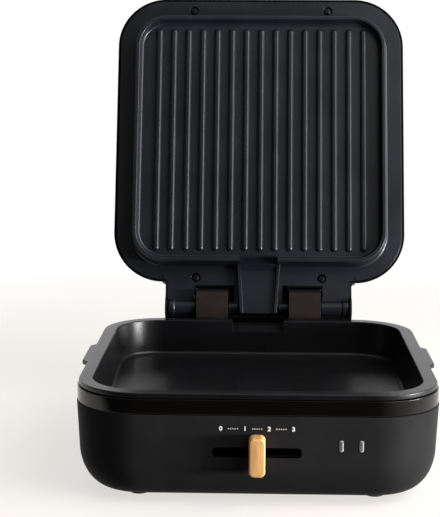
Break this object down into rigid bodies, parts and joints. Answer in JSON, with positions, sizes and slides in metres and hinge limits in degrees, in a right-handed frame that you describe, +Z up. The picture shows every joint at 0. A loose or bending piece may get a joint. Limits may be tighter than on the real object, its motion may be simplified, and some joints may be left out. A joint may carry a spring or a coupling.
{
  "type": "electric grill",
  "caption": "Square electric grill with a deep lift-out cooking pan and a hinged lid that carries a ribbed grill plate and a drain spout.",
  "frame": {"origin": "on the table below the middle of the open grill's box", "axes": "+X to the right as seen from the front, +Y to the back, +Z up"},
  "size_m": [0.3066, 0.4834, 0.4127],
  "materials": {
    "housing": "fine matt texture",
    "band": "high gloss",
    "casting": "satin non-stick coating",
    "cover": "satin",
    "post": "fine matt texture",
    "wood": "fine grain, clear matt varnish",
    "fastener": "plain",
    "plate_fastener": "darkened",
    "heater": "oxidised tube",
    "reflector": "bright sheet",
    "foot": "matt",
    "lens": "milky and clear",
    "board": "lacquered",
    "insulator": "unglazed",
    "pins": "plain"
  },
  "bodies": {
    "base": {"base_housing": "housing", "trim_band": "band", "bottom_cover": "housing", "foot_front_left": "foot", "foot_front_right": "foot", "foot_rear_left": "foot", "foot_rear_right": "foot", "cover_screw_1": "fastener", "cover_screw_2": "fastener", "cover_screw_3": "fastener", "cover_screw_4": "fastener", "heat_reflector": "reflector", "lower_heater": "heater", "heater_clip_front": "fastener", "heater_clip_left": "fastener", "heater_clip_right": "fastener", "pan_thermostat": "fastener", "thermal_fuse": "insulator", "slide_control": "cover", "control_board": "board", "indicator_lens_left": "lens", "indicator_lamp_left": "lens", "indicator_lens_right": "lens", "indicator_lamp_right": "lens", "power_inlet": "cover", "inlet_blade_left": "pins", "inlet_blade_right": "pins", "inlet_blade_earth": "pins", "hinge_post_left": "post", "hinge_pin_left": "fastener", "hinge_post_right": "post", "hinge_pin_right": "fastener", "post_screw_1": "fastener", "post_screw_2": "fastener", "post_screw_3": "fastener", "post_screw_4": "fastener"},
    "pan": {"cooking_pan": "casting"},
    "slider": {"slider_knob": "wood", "slider_stem": "fastener"},
    "lid": {"lid_cover": "cover", "upper_grill_plate": "casting", "plate_flange": "casting", "drain_spout": "casting", "plate_screw_front_left": "plate_fastener", "plate_screw_front_right": "plate_fastener", "plate_screw_rear_left": "plate_fastener", "plate_screw_rear_right": "plate_fastener", "upper_heater": "heater", "heater_clamp_left": "fastener", "heater_clamp_right": "fastener", "upper_shield": "reflector", "upper_thermostat": "fastener", "lid_handle": "wood", "handle_standoff_left": "fastener", "handle_standoff_right": "fastener", "handle_screw_left": "fastener", "handle_screw_right": "fastener"}
  },
  "joints": [
    {"name": "lid_hinge", "type": "hinge", "parent": "base", "child": "lid", "pos_m": [0, 0.0939, 0.1015], "axis": [1, 0, 0], "range_deg": [0, 108]},
    {"name": "pan_lift", "type": "slide", "parent": "base", "child": "pan", "axis": [0, 0, 1], "range_m": [0, 0.112]},
    {"name": "heat_slider", "type": "slide", "parent": "base", "child": "slider", "axis": [1, 0, 0], "range_m": [-0.029, 0.029]}
  ]
}
